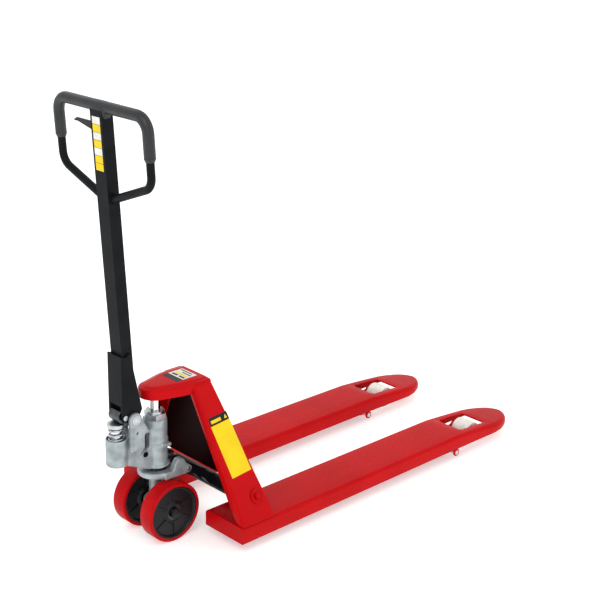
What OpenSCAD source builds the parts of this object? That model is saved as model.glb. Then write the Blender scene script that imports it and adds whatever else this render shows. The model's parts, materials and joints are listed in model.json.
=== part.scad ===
// Hand pallet jack: welded fork frame, hydraulic pump unit that steers on two front wheels,
// pump handle, and a lifting linkage that swings the load rollers down as the forks rise.
// X runs along the forks towards their tips, Y is across, Z is up from the floor.
// The origin is on the floor under the middle of the whole jack. The forks are down.

/* [Forks] */
// Width over the outsides of both forks
fork_span = 550; // [540:1:560]
// Width of one fork
fork_w = 160; // [156:1:164]
// Length of one fork, heel to tip
fork_len = 1250; // [1240:1:1300]
// Height of the fork's top above the floor
fork_top = 82; // [80:1:85]
// Height of the fork's lower edge at the heel
fork_low = 32; // [30:1:36]
// Thickness of the fork's pressed plate
fork_t = 5; // [4:0.5:6]
// Radius of the fork's long top edges
fork_r = 12; // [8:1:14]

/* [Frame] */
// Height of the head's top above the floor
head_top = 464; // [460:1:470]
// Width over the head where it meets the side plates
head_w = 132; // [128:1:140]
// Thickness of the side plates and the front plate
plate_t = 5; // [4:0.5:6]

/* [Steering wheels] */
// Radius of a steering wheel
wheel_r = 90; // [88:0.5:90]
// Width of a steering wheel
wheel_w = 50; // [46:1:50]
// Distance between the middles of the two steering wheels
wheel_pitch = 126; // [124:1:130]
// Distance of the steering axis behind the fork heels
steer_back = 90; // [88:1:94]

/* [Handle] */
// Height of the handle's pivot above the floor
pivot_z = 394; // [390:1:398]
// Distance of the handle's pivot behind the steering axis
pivot_back = 98; // [96:1:100]
// How far the post leans back, in degrees
lean = 3.8; // [3:0.1:5]
// Distance from the pivot to the middle of the top bar
bar_up = 866; // [820:1:880]
// Half the distance between the middles of the loop's two sides
loop_half = 188; // [170:1:190]

/* [Load rollers] */
// Radius of a load roller
roller_r = 37; // [36:0.5:37]
// Length of a load roller
roller_len = 62; // [58:1:64]

/* [Lifting linkage] */
// Lever radius of the rocker's two short arms
lever_r = 44; // [42:1:46]
// Radius of the lug that the pushrod works on
lug_r = 39.4; // [38:0.1:42]

/* [Hidden] */
$fn = 64;
e = 0.01;
post_half = 18;
rear_reach = steer_back + pivot_back + post_half * cos(lean) + (bar_up - 6) * sin(lean);
heel_x = -(fork_len - rear_reach) / 2;
fork_y = (fork_span - fork_w) / 2;
steer_x = heel_x - steer_back;
pivot_x = steer_x - pivot_back;

red = "#c4141a";
dark_red = "#8e0f14";
black = "#1d1f22";
steel = "#b9bdc2";
cast_grey = "#a9b0b2";

// Rocker: a shaft low across the frame
rocker_x = heel_x + 110;
rocker_z = 105;
rocker_rest = 24.05;
arm_r = 138;
arm_rest = 36.1;

// Load roller links
link_x = heel_x + 935;
link_z = 26;
link_run = 136.2;
link_rise = roller_r - link_z;
lug_rest = 27.1;
plate_gap = 38;

// Yoke, pump and their heights above the floor
yoke_low = 182;
yoke_top = 205;
yoke_pin_x = heel_x - 12;
yoke_pin_z = 194;
pump_low = 216;
pump_top = 361;
pump_r = 35;
cup_x = steer_x - 136;
cup_r = 31;
cup_low = 256;
cup_top = 338;
pocket_low = 305;
plunger_r = 16;
cap_top = 383;
ram_r = 16;
press_dx = -28;
press_dz = 10;
press_r = 19;
fit = 0.05;
core_r = wheel_r - 10;

// Handle loop: a bent tube whose lower arms slant in to the post
tube_r = 11;
tube_bore = 8.4;
loop_bend_r = 40;
loop_in = loop_half - loop_bend_r;
loop_low = 718;
loop_slant = 21;
grip_low = 766;
lever_up = 809;
lever_y = -10;
release_x = pivot_x + 16;
release_z = 275;

// Heel part of a fork, square-edged and a little lower, that the frame stands on
foot_len = 140;
foot_drop = 0.4;

// Side plates flare out from the head to the forks' outer edges
flare_top = head_top - 6;
flare_low = fork_top;
flare_run = fork_span / 2 - head_w / 2;
flare = atan(flare_run / (flare_top - flare_low));
flare_len = norm([flare_run, flare_top - flare_low]);

function arc(cx, cy, r, a0, a1, n = 10) = [for (i = [0:n]) let (a = a0 + (a1 - a0) * i / n)
    [cx + r * cos(a), cy + r * sin(a)]];

// A round bar from one point to another
module bar(p, q, r) {
    d = q - p;
    len = norm(d);
    translate(p)
        rotate([0, acos(d[2] / len), atan2(d[1], d[0])])
            cylinder(r = r, h = len);
}

// A round bar across the jack, centred on y
module cross_bar(x, z, y0, y1, r) {
    translate([x, y0, z]) rotate([-90, 0, 0]) cylinder(r = r, h = y1 - y0);
}

// A flat plate in the XZ plane, between two values of y
module side_slab(points, y0, y1) {
    translate([0, y1, 0]) rotate([90, 0, 0]) linear_extrude(y1 - y0) polygon(points);
}

module both_sides() {
    children();
    mirror([0, 1, 0]) children();
}

// ---- Forks ----

// Section across a fork, open below
module fork_section(w, low, top, r) {
    translate([-w / 2, low]) square([w, top - low - r]);
    translate([-w / 2 + r, low]) square([w - 2 * r, top - low]);
    translate([-w / 2 + r, top - r]) circle(r = r);
    translate([w / 2 - r, top - r]) circle(r = r);
}

// Outside form of a fork along its length, shrunk by s for the inside
module fork_form(s) {
    tip_len = 120;
    tip_x = fork_len - tip_len;
    top = fork_top - s;
    intersection() {
        union() {
            translate([foot_len + (s > 0 ? s : 0), 0, 0]) rotate([90, 0, 90]) linear_extrude(fork_len - foot_len)
                fork_section(fork_w - 2 * s, 0, top, fork_r - min(s, 4));
            translate([s, -fork_w / 2 + s, 0]) cube([foot_len + 1 - s, fork_w - 2 * s, top - foot_drop]);
            if (s > 0) translate([foot_len, -fork_w / 2 + 12, 0]) cube([20, fork_w - 24, top - foot_drop]);
        }
        linear_extrude(200) polygon(concat(
            [[s, -fork_w / 2 + s]],
            [for (a = [-90:7.5:90]) [tip_x + (tip_len - s) * cos(a), (fork_w / 2 - s) * sin(a)]],
            [[s, fork_w / 2 - s]]));
        side_slab([[s, s > 0 ? -1 : fork_low], [s, top], [955, top], [1030, top - 4],
            [1100, top - 9], [fork_len - 60, top - 16.5], [fork_len - s, top - 22],
            [fork_len - s, s > 0 ? -1 : 51], [fork_len - 20, s > 0 ? -1 : 47], [fork_len - 60, s > 0 ? -1 : 41],
            [fork_len - 110, s > 0 ? -1 : 38], [900, s > 0 ? -1 : 38]], -100, 100);
    }
}

module fork() {
    window = [125, 96];
    difference() {
        fork_form(0);
        fork_form(fork_t);
        translate([985, -window[1] / 2, 60]) cube([window[0], window[1], 40]);
        // slot under the frame for the rocker's lever
        translate([72, -16, 60]) cube([67, 32, 40]);
    }
    // ears that hold the link's pivot pin
    for (side = [-1, 1]) {
        y = side > 0 ? fork_w / 2 - fork_t : -fork_w / 2;
        difference() {
            side_slab(concat([[900, 44], [912, 36]], arc(935, link_z, 13, 215, 350), [[955, 40], [960, 44]]),
                y, y + fork_t);
            cross_bar(935, link_z, -100, 100, 7.5 + fit);
        }
    }
}

module fork_left() {
    color(red) translate([heel_x, fork_y, 0]) fork();
}

module fork_right() {
    color(red) translate([heel_x, -fork_y, 0]) fork();
}

// ---- Frame over the forks ----

// One flared side plate with its rear edge folded in, on the right side of the jack
module side_plate() {
    fold = 30;
    difference() {
        translate([heel_x, -fork_span / 2, flare_low]) rotate([90 - flare, 0, 0]) {
            translate([0, 0, -plate_t]) linear_extrude(plate_t) difference() {
                polygon([[5, -9], [129, -9], [60, flare_len], [-5, flare_len]]);
                translate([84, 72]) circle(r = 15 + fit);
            }
            translate([0, 0, -fold]) linear_extrude(fold)
                polygon([[5, 12], [10, 12], [0, flare_len - 12], [-5, flare_len - 12]]);
        }
        // the plate's lower edge lies flat on the fork
        translate([heel_x - 20, -fork_span / 2 - 40, fork_top - foot_drop - 60]) cube([200, 120, 60]);
    }
}

module side_plate_right() {
    color(red) side_plate();
}

module side_plate_left() {
    color(red) mirror([0, 1, 0]) side_plate();
}

// Plan of the head, round at the nose over the ram
function head_plan(s) = concat(
    [[60, -head_w / 2 + s], [-14, -head_w / 2 + s]],
    [for (p = arc(-steer_back, 0, 46 - s, 262, 98, 20)) p],
    [[-14, head_w / 2 - s], [60, head_w / 2 - s]]);

module head_box() {
    skirt = 34;
    color(red) translate([heel_x, 0, 0]) difference() {
        translate([0, 0, head_top - skirt]) linear_extrude(skirt) polygon(head_plan(0));
        translate([0, 0, head_top - skirt - 1]) linear_extrude(skirt - 5) polygon(head_plan(plate_t));
        translate([-6, -100, head_top - skirt - 1]) cube([80, 200, skirt - 5]);
    }
    // thick pad that the ram's ball pushes on
    color(red) translate([steer_x, 0, head_top - 24]) difference() {
        cylinder(r = 30, h = 18.5);
        translate([0, 0, 5]) sphere(r = 8 + fit);
    }
}

module front_plate() {
    tilt = atan(66 / (flare_top - flare_low));
    half_low = fork_span / 2 - 8;
    half_top = head_w / 2 - 7;
    len = (flare_top - flare_low) / cos(tilt) - 6;
    low = 64;
    half_cut = half_low + (half_top - half_low) * low / len;
    color(dark_red) translate([heel_x + 124, 0, flare_low]) rotate([90, 0, 90]) rotate([-tilt, 0, 0])
        translate([0, 0, -plate_t - 6]) linear_extrude(plate_t)
            polygon([[-half_cut, low], [half_cut, low], [half_top, len], [-half_top, len]]);
}

// Round bosses welded through the side plates low down, each with a bolt head
module frame_bosses() {
    color(red) both_sides() translate([heel_x + 84, -fork_span / 2, flare_low])
        rotate([90 - flare, 0, 0]) translate([0, 72, -24]) {
            cylinder(r = 15, h = 30);
            translate([0, 0, 24.2]) cylinder(r = 21, h = 5);
            translate([0, 0, 29]) cylinder(r = 10, h = 5, $fn = 6);
        }
}

// Blocks on the forks that carry the rocker shaft
module rocker_bearing_blocks() {
    color(red) for (y = [-236, 220]) difference() {
        side_slab(concat([[rocker_x - 24, fork_top - foot_drop]], arc(rocker_x, rocker_z, 20, 160, 20),
            [[rocker_x + 24, fork_top - foot_drop]]), y, y + 16);
        cross_bar(rocker_x, rocker_z, y - 1, y + 17, 14 + fit);
    }
}

module lift_ram() {
    low = 236;
    color(steel) translate([steer_x, 0, low]) difference() {
        cylinder(r = ram_r, h = head_top - 24.5 - low);
        translate([0, 0, head_top - 19 - low]) sphere(r = 8 + fit);
    }
}

module ram_ball() {
    color(steel) translate([steer_x, 0, head_top - 19]) sphere(r = 8);
}

module link_pivot_pins() {
    color(steel) for (y = [-fork_y, fork_y]) {
        cross_bar(link_x, link_z, y - fork_w / 2 - 1, y + fork_w / 2 + 1, 7.5);
    }
}

module side_label_sheets() {
    color("gold") both_sides() translate([heel_x, -fork_span / 2, flare_low])
        rotate([90 - flare, 0, 0]) linear_extrude(0.6)
            polygon([[22, 144], [101, 144], [71, 328], [7, 328]]);
}

module head_label_sheet() {
    color("white") translate([heel_x - 36, -34, head_top]) cube([74, 68, 0.6]);
}

// ---- Base that stays on the floor ----

module base_yoke() {
    color(cast_grey) {
        difference() {
            union() {
                translate([steer_x, 0, yoke_low]) cylinder(r = 40, h = yoke_top - yoke_low);
                both_sides() side_slab(concat(
                    [[steer_x - 8, yoke_low], [steer_x - 8, yoke_top], [steer_x + 22, yoke_top]],
                    arc(steer_x + 48, yoke_top + 11, 19, 150, 10, 10),
                    arc(yoke_pin_x, yoke_pin_z, 12, 80, -90, 14)), 36, 56);
            }
            translate([steer_x, 0, yoke_low - 1]) cylinder(r = 20 + fit, h = 40);
            cross_bar(yoke_pin_x, yoke_pin_z, -80, 80, 7 + fit);
        }
    }
}

module yoke_pins() {
    color(steel) both_sides() {
        cross_bar(yoke_pin_x, yoke_pin_z, 35.6, 57.5, 7);
    }
}

module bearing_lower_race() {
    color(steel) translate([steer_x, 0, yoke_top]) difference() {
        cylinder(r = 34, h = 3);
        translate([0, 0, -1]) cylinder(r = 22, h = 6);
        translate([0, 0, 5.5]) rotate_extrude() translate([28, 0]) circle(r = 4.05);
    }
}

// ---- Pump unit, turned by the handle ----

module bearing_balls() {
    n = 16;
    color(steel) translate([steer_x, 0, yoke_top + 5.5])
        for (i = [0:n - 1]) rotate([0, 0, i * 360 / n]) translate([28, 0, 0]) sphere(r = 4);
}

module bearing_upper_race() {
    color(steel) translate([steer_x, 0, pump_low - 3]) difference() {
        cylinder(r = 34, h = 3);
        translate([0, 0, -1]) cylinder(r = 22, h = 6);
        translate([0, 0, -2.5]) rotate_extrude() translate([28, 0]) circle(r = 4.05);
    }
}

module pump_housing() {
    ear_y = 32;
    ear_t = 12;
    color(cast_grey) difference() {
        union() {
            translate([steer_x, 0, pump_low]) cylinder(r = 41, h = 8);
            translate([steer_x, 0, pump_low]) cylinder(r = pump_r, h = pump_top - pump_low);
            translate([steer_x, 0, pump_top - 70]) cylinder(r = pump_r + 2, h = 8);
            translate([cup_x, 0, cup_low]) cylinder(r = cup_r, h = cup_top - cup_low);
            // web from the cup to the cylinder, with a sloped rib below it
            translate([cup_x, -23, 262]) cube([136, 46, 76]);
            side_slab([[cup_x - 12, cup_low + 2], [cup_x + 20, cup_low - 4], [steer_x - 40, pump_low],
                [steer_x, pump_low], [steer_x, 270], [cup_x - 12, 270]], -24, 24);
            // ears for the handle pivot
            both_sides() side_slab(concat([[pivot_x - 20, 300], [pivot_x - 20, pivot_z]],
                arc(pivot_x, pivot_z, 20, 180, 0, 16), [[pivot_x + 50, 340], [pivot_x + 50, 300]]),
                ear_y, ear_y + ear_t);
            translate([pivot_x - 6, -ear_y - 1, 300]) cube([56, 2 * ear_y + 2, 34]);
            both_sides() cross_bar(pivot_x + 40, 272, 18, 30, 12);
        }
        // ram bore, plunger bore and spring pocket
        translate([steer_x, 0, pump_low + 12]) cylinder(r = ram_r + fit, h = 200);
        translate([cup_x, 0, 264]) cylinder(r = plunger_r + fit, h = 100);
        translate([cup_x, 0, pocket_low]) cylinder(r = 27, h = 100);
        // window through the web
        translate([steer_x - 60, -80, 284]) cube([22, 160, 52]);
        // pivot pin, valve and roll-pin holes
        cross_bar(pivot_x, pivot_z, -80, 80, 9 + fit);
        both_sides() cross_bar(pivot_x + 40, 272, 24, 40, 8);
        both_sides() cross_bar(pivot_x + 4, 352, 26, 60, 4);
    }
}

module ram_gland_nut() {
    color(steel) translate([steer_x, 0, pump_top]) difference() {
        union() {
            cylinder(r = 34, h = 16, $fn = 6);
            translate([0, 0, 16]) cylinder(r = 26, h = 8);
        }
        translate([0, 0, -1]) cylinder(r = ram_r + fit, h = 40);
    }
}

module valve_cap() {
    color(black) both_sides() difference() {
        cross_bar(pivot_x + 40, 272, 24, 32, 8 - fit);
        cross_bar(pivot_x + 40, 272, 27, 40, 4, $fn = 6);
    }
}

module axle_stem() {
    color(cast_grey) difference() {
        union() {
            translate([steer_x, 0, wheel_r]) cylinder(r = 20, h = pump_low - wheel_r);
            cross_bar(steer_x, wheel_r, -36, 36, 21);
        }
        cross_bar(steer_x, wheel_r, -50, 50, 10 + fit);
    }
}

module wheel_axle() {
    color(steel) cross_bar(steer_x, wheel_r, -94, 94, 10);
}

module axle_circlips() {
    color(steel) both_sides() difference() {
        cross_bar(steer_x, wheel_r, 89, 90.5, 14);
        cross_bar(steer_x, wheel_r, 80, 100, 10);
    }
}

module handle_pivot_pin() {
    color(steel) cross_bar(pivot_x, pivot_z, -47, 47, 9);
}

// ---- Steering wheels ----

module wheel_core(y) {
    hub_r = 29;
    brg_r = 23.5;
    color(black) translate([steer_x, y, wheel_r]) rotate([90, 0, 0]) difference() {
        union() {
            rotate_extrude() {
                translate([core_r - 10, -wheel_w / 2 + 1]) square([10, wheel_w - 2]);
                translate([hub_r - 2, -5]) square([core_r - 6 - hub_r, 10]);
                translate([14, -wheel_w / 2 + 1]) square([hub_r - 14, wheel_w - 2]);
            }
            for (i = [0:5]) rotate([0, 0, i * 60]) translate([hub_r - 2, -3, -20]) cube([core_r - 4 - hub_r, 6, 40]);
        }
        translate([0, 0, -wheel_w]) cylinder(r = 15, h = 2 * wheel_w);
        for (s = [0, 1]) mirror([0, 0, s]) translate([0, 0, 11 - fit]) cylinder(r = brg_r, h = 30);
    }
}

module wheel_tread(y) {
    color("#b8141a") translate([steer_x, y, wheel_r]) rotate([90, 0, 0]) rotate_extrude()
        polygon([[core_r, -wheel_w / 2 + 1], [wheel_r - 3, -wheel_w / 2], [wheel_r, -wheel_w / 2 + 3],
            [wheel_r, wheel_w / 2 - 3], [wheel_r - 3, wheel_w / 2], [core_r, wheel_w / 2 - 1]]);
}

module wheel_bearings(y) {
    color(steel) for (s = [-1, 1]) translate([steer_x, y + s * 18, wheel_r]) rotate([90, 0, 0])
        difference() {
            translate([0, 0, -7]) cylinder(r = 23.5, h = 14);
            translate([0, 0, -8]) cylinder(r = 10 + fit, h = 16);
        }
}

module wheel_core_left() {
    wheel_core(wheel_pitch / 2);
}

module wheel_core_right() {
    wheel_core(-wheel_pitch / 2);
}

module wheel_tread_left() {
    wheel_tread(wheel_pitch / 2);
}

module wheel_tread_right() {
    wheel_tread(-wheel_pitch / 2);
}

module wheel_bearings_left() {
    wheel_bearings(wheel_pitch / 2);
}

module wheel_bearings_right() {
    wheel_bearings(-wheel_pitch / 2);
}

// ---- Pump plunger and its return spring ----

module pump_plunger() {
    color(steel) translate([cup_x, 0, pocket_low - 4]) cylinder(r = plunger_r, h = cap_top - 12 - pocket_low + 4);
}

module plunger_cap() {
    color(steel) translate([cup_x, 0, cap_top - 12]) cylinder(r = 25, h = 12);
}

module plunger_spring() {
    coils = 6;
    wire = 2.6;
    step = (cap_top - 12 - pocket_low - 2 * wire) / (coils - 1);
    color(steel) for (i = [0:coils - 1]) translate([cup_x, 0, pocket_low + wire + i * step])
        rotate_extrude() translate([21, 0]) circle(r = wire);
}

// ---- Handle ----

// Moves children from the pivot's own frame, leaning with the post, to the jack
module on_post() {
    translate([pivot_x, 0, pivot_z]) rotate([0, -lean, 0]) children();
}

module handle_bracket() {
    outline = concat([[-38, 190], [-38, 24]], arc(-24, 10, 14, 180, 240, 6), arc(0, 0, 17, 230, 350, 10),
        [[31, 22], [-8, 196], [-20, 186]]);
    color(black) translate([pivot_x, 0, pivot_z]) difference() {
        union() {
            side_slab(outline, 24, 31);
            side_slab(outline, -31, -24);
            translate([-38, -31, 44]) cube([5, 62, 146]);
        }
        cross_bar(0, 0, -50, 50, 9 + fit);
        cross_bar(press_dx, press_dz, -50, 50, 5 + fit);
    }
}

module handle_post() {
    low = 110;
    color(black) on_post() difference() {
        translate([-18, -24, low]) cube([36, 48, bar_up - low - 6]);
        translate([-15, -21, low - 1]) cube([30, 42, bar_up - low - 20]);
        translate([-17, lever_y, lever_up]) rotate([0, 90, 0]) cylinder(r = 4, h = 34);
        translate([-8, 10, lever_up - 30]) cube([16, 20, 60]);
        bar([0, -40, bar_up], [0, 40, bar_up], tube_r);
    }
}

// A quarter bend of the loop, or part of one, about the point (0, y, z)
module loop_bend(y, z, start, sweep, r, bore) {
    translate([0, y, z]) rotate([90, 0, 90]) rotate([0, 0, start]) rotate_extrude(angle = sweep)
        translate([loop_bend_r, 0]) difference() {
            circle(r = r);
            if (bore > 0) circle(r = bore);
        }
}

// A straight of the loop, solid or bored
module loop_straight(p, q, r, bore) {
    difference() {
        bar(p, q, r);
        if (bore > 0) bar(p - (q - p), q + (q - p), bore);
    }
}

// Lower arm of the loop, which leaves the lower bend and runs in to the post
module loop_arm(len, r, bore) {
    translate([0, loop_in, loop_low]) rotate([90, 0, 90]) rotate([0, 0, loop_slant - 90])
        translate([loop_bend_r, 0, 0]) rotate([90, 0, 0]) difference() {
            cylinder(r = r, h = len);
            if (bore > 0) translate([0, 0, -1]) cylinder(r = bore, h = len + 2);
        }
}

// Top bar and sides of the loop
module handle_loop() {
    color(black) on_post() {
        loop_straight([0, -loop_in, bar_up], [0, loop_in, bar_up], tube_r, tube_bore);
        for (s = [0, 1]) mirror([0, s, 0]) {
            loop_bend(loop_in, bar_up - loop_bend_r, 0, 90, tube_r, tube_bore);
            loop_straight([0, loop_half, loop_low], [0, loop_half, bar_up - loop_bend_r], tube_r, tube_bore);
        }
    }
}

// Lower ends of the loop, which bend in and are welded to the post
module loop_arms() {
    weld_y = 24;
    arm_len = (loop_in + loop_bend_r * sin(loop_slant) - weld_y) / cos(loop_slant) - tube_r * tan(loop_slant);
    color(black) on_post() for (s = [0, 1]) mirror([0, s, 0]) {
        loop_bend(loop_in, loop_low, loop_slant - 90, 90 - loop_slant, tube_r, tube_bore);
        loop_arm(arm_len, tube_r, tube_bore);
    }
}

// Moulded sleeve over the top bar and the upper part of both sides
module handle_grip() {
    r = 15.5;
    color(black) on_post() {
        difference() {
            loop_straight([0, -loop_in, bar_up], [0, loop_in, bar_up], r, tube_r);
            translate([-18, -24, bar_up - 40]) cube([36, 48, 34]);
        }
        for (s = [0, 1]) mirror([0, s, 0]) {
            loop_bend(loop_in, bar_up - loop_bend_r, 0, 90, r, tube_r);
            loop_straight([0, loop_half, grip_low], [0, loop_half, bar_up - loop_bend_r], r, tube_r);
        }
    }
}

module handle_label() {
    color("khaki") on_post() translate([-18.6, -20, 700]) cube([0.6, 40, 145]);
}

module press_roller_pin() {
    color(steel) translate([pivot_x, 0, pivot_z]) cross_bar(press_dx, press_dz, -31.5, 31.5, 5);
}

module press_roller() {
    color(steel) translate([pivot_x, 0, pivot_z]) difference() {
        cross_bar(press_dx, press_dz, -22, 22, press_r);
        cross_bar(press_dx, press_dz, -23, 23, 5 + fit);
    }
}

module control_lever_pin() {
    color(steel) on_post() translate([-17, lever_y, lever_up]) rotate([0, 90, 0]) cylinder(r = 4, h = 34);
}

// Finger lever: pinned inside the post, it reaches out through a slot into the left window
module control_lever() {
    tip = 118;
    color(black) on_post() difference() {
        translate([-3.5, 0, 0]) rotate([90, 0, 90]) linear_extrude(7) polygon(concat(
            arc(lever_y, lever_up, 9, 110, 300, 12), [[30, lever_up - 13], [62, lever_up - 6],
            [tip - 14, lever_up + 3], [tip, lever_up + 2], [tip + 1, lever_up + 6], [tip - 10, lever_up + 12],
            [40, lever_up + 12], [16, lever_up + 10]]));
        translate([-20, lever_y, lever_up]) rotate([0, 90, 0]) cylinder(r = 4 + fit, h = 40);
    }
}

module release_rod() {
    color(steel) on_post() bar([0, 6, 120], [0, 6, lever_up - 17], 2);
}

module release_lever() {
    color(steel) difference() {
        side_slab(concat(arc(release_x, release_z, 8, 270, 450, 10),
            arc(release_x - 25, release_z + 8, 5, 90, 270, 8)), 24.5, 29.5);
        cross_bar(release_x, release_z, 20, 40, 4 + fit);
    }
}

module release_lever_pin() {
    color(steel) {
        cross_bar(release_x, release_z, 23, 30, 4);
        cross_bar(release_x, release_z, 30, 32, 6.5);
    }
}

// ---- Lifting linkage ----

module rocker() {
    color(black) {
        cross_bar(rocker_x, rocker_z, -238, 238, 14);
        cross_bar(rocker_x, rocker_z, -150, 150, 22);
        // long arms up to the yoke
        both_sides() translate([rocker_x, 0, rocker_z]) rotate([0, arm_rest, 0])
            side_slab(concat(arc(0, 0, 20, 90, -90, 10), [[-50, -7.5]], arc(-arm_r, 0, 8, 270, 90, 10)),
                14, 32);
        // short levers down to the pushrods
        for (y = [-fork_y, fork_y]) translate([rocker_x, y, rocker_z]) rotate([0, rocker_rest, 0])
            difference() {
                side_slab(concat(arc(0, 0, 22, 0, 180, 12), arc(0, -lever_r, 10, 180, 360, 10)), -6, 6);
            }
        for (y = [-fork_y, fork_y]) translate([rocker_x, y, rocker_z]) rotate([0, rocker_rest, 0])
            cross_bar(0, -lever_r, -15, 15, 6);
    }
}

module pushrod(y) {
    x0 = rocker_x - lever_r * sin(rocker_rest);
    x1 = link_x - lug_r * sin(lug_rest);
    z = 64;
    color(black) translate([0, y, 0]) {
        bar([x0 + 30, 0, z], [x1 - 30, 0, z], 8);
        for (end = [[x0, 1], [x1, -1]]) for (s = [-1, 1]) difference() {
            side_slab(concat(arc(end[0], z, 12, 90 * end[1], 90 * end[1] + 180),
                [[end[0] + 40 * end[1], z - 12 * end[1]], [end[0] + 40 * end[1], z + 12 * end[1]]]),
                s > 0 ? 7.5 : -13.5, s > 0 ? 13.5 : -7.5);
            translate([end[0] - 7, -20, z - 9.3]) cube([14, 40, 18.6]);
        }
        for (end = [[x0, 1], [x1, -1]]) translate([end[0] + (end[1] > 0 ? 26 : -40), -13.5, z - 8])
            cube([14, 27, 16]);
    }
}

module pushrod_left() {
    pushrod(fork_y);
}

module pushrod_right() {
    pushrod(-fork_y);
}

// Swinging frame of one load roller: two plates and a tube round the pivot
module wheel_link(y) {
    lug = [-lug_r * sin(lug_rest), lug_r * cos(lug_rest)];
    color(red) translate([link_x, y, link_z]) {
        for (s = [-1, 1]) difference() {
            side_slab(concat(arc(0, 0, 14, 180, 270, 6), arc(link_run, link_rise, 16, 280, 360, 6),
                arc(link_run, link_rise, 28, 20, 150, 8), [[60, 24]], arc(lug[0], lug[1], 9, 60, 180, 6)),
                s > 0 ? plate_gap : -plate_gap - 7, s > 0 ? plate_gap + 7 : -plate_gap);
            cross_bar(0, 0, -60, 60, 7.5 + fit);
            cross_bar(link_run, link_rise, -60, 60, 10 + fit);
            cross_bar(lug[0], lug[1], -60, 60, 6 + fit);
        }
        difference() {
            cross_bar(0, 0, -plate_gap - e, plate_gap + e, 12);
            cross_bar(0, 0, -60, 60, 7.5 + fit);
        }
    }
}

module wheel_link_left() {
    wheel_link(fork_y);
}

module wheel_link_right() {
    wheel_link(-fork_y);
}

module link_lug_pins(y) {
    color(steel) translate([link_x, y, link_z])
        cross_bar(-lug_r * sin(lug_rest), lug_r * cos(lug_rest), -plate_gap - 8, plate_gap + 8, 6);
}

module link_lug_pins_left() {
    link_lug_pins(fork_y);
}

module link_lug_pins_right() {
    link_lug_pins(-fork_y);
}

module roller_axle(y) {
    color(steel) translate([link_x, y, link_z])
        cross_bar(link_run, link_rise, -plate_gap - 9, plate_gap + 9, 10);
}

module roller_axle_left() {
    roller_axle(fork_y);
}

module roller_axle_right() {
    roller_axle(-fork_y);
}

module load_roller(y) {
    color("#e9e6df") translate([link_x, y, link_z]) difference() {
        cross_bar(link_run, link_rise, -roller_len / 2, roller_len / 2, roller_r);
        cross_bar(link_run, link_rise, -roller_len, roller_len, 10 + fit);
    }
}

module load_roller_left() {
    load_roller(fork_y);
}

module load_roller_right() {
    load_roller(-fork_y);
}

fork_left();
fork_right();
side_plate_left();
side_plate_right();
head_box();
front_plate();
frame_bosses();
rocker_bearing_blocks();
lift_ram();
ram_ball();
link_pivot_pins();
side_label_sheets();
head_label_sheet();
base_yoke();
yoke_pins();
bearing_lower_race();
pump_housing();
ram_gland_nut();
valve_cap();
bearing_upper_race();
bearing_balls();
axle_stem();
wheel_axle();
axle_circlips();
handle_pivot_pin();
wheel_core_left();
wheel_core_right();
wheel_tread_left();
wheel_tread_right();
wheel_bearings_left();
wheel_bearings_right();
pump_plunger();
plunger_cap();
plunger_spring();
handle_bracket();
handle_post();
handle_loop();
loop_arms();
handle_grip();
handle_label();
press_roller_pin();
press_roller();
control_lever_pin();
control_lever();
release_rod();
release_lever();
release_lever_pin();
rocker();
pushrod_left();
pushrod_right();
wheel_link_left();
wheel_link_right();
link_lug_pins_left();
link_lug_pins_right();
roller_axle_left();
roller_axle_right();
load_roller_left();
load_roller_right();
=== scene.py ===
import json
import math

import bmesh
import bpy
from mathutils import Matrix, Vector


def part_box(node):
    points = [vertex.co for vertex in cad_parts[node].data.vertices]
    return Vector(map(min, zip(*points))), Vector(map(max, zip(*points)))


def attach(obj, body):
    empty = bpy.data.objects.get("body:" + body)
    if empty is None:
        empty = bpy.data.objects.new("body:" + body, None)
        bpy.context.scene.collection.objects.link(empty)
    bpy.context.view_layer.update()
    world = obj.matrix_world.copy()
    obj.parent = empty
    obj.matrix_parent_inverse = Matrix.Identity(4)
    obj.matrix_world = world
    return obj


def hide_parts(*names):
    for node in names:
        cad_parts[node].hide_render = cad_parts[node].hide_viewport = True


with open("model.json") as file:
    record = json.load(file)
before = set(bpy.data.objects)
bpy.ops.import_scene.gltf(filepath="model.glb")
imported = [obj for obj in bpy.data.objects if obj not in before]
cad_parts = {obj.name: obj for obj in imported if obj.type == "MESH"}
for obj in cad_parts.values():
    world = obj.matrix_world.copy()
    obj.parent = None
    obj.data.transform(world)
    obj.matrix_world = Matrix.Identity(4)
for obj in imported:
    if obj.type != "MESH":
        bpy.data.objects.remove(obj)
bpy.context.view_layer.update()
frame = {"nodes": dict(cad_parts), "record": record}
cadNodes = frame["nodes"]
mm = 0.001
print("frame loaded")

# where the main pieces are, from the frame
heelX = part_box("fork_right")[0].x
forkSide = -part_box("fork_right")[0].y
steerX = (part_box("lift_ram")[0].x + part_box("lift_ram")[1].x) / 2
pivotX = (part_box("handle_pivot_pin")[0].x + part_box("handle_pivot_pin")[1].x) / 2
pivotZ = (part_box("handle_pivot_pin")[0].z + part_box("handle_pivot_pin")[1].z) / 2
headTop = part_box("head_box")[1].z
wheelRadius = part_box("wheel_tread_right")[1].z / 2
cupX = (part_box("pump_plunger")[0].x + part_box("pump_plunger")[1].x) / 2

# camera and light

camera = {
    "place": (heelX - 2.2155, -2.7218, 1.9263),
    "turn": math.radians(48.0),
    "dip": math.radians(22.3),
    "roll": math.radians(0.6),
    "lens": 80.39,
    "shift": (0.0984, 0.1128),
}


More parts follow.
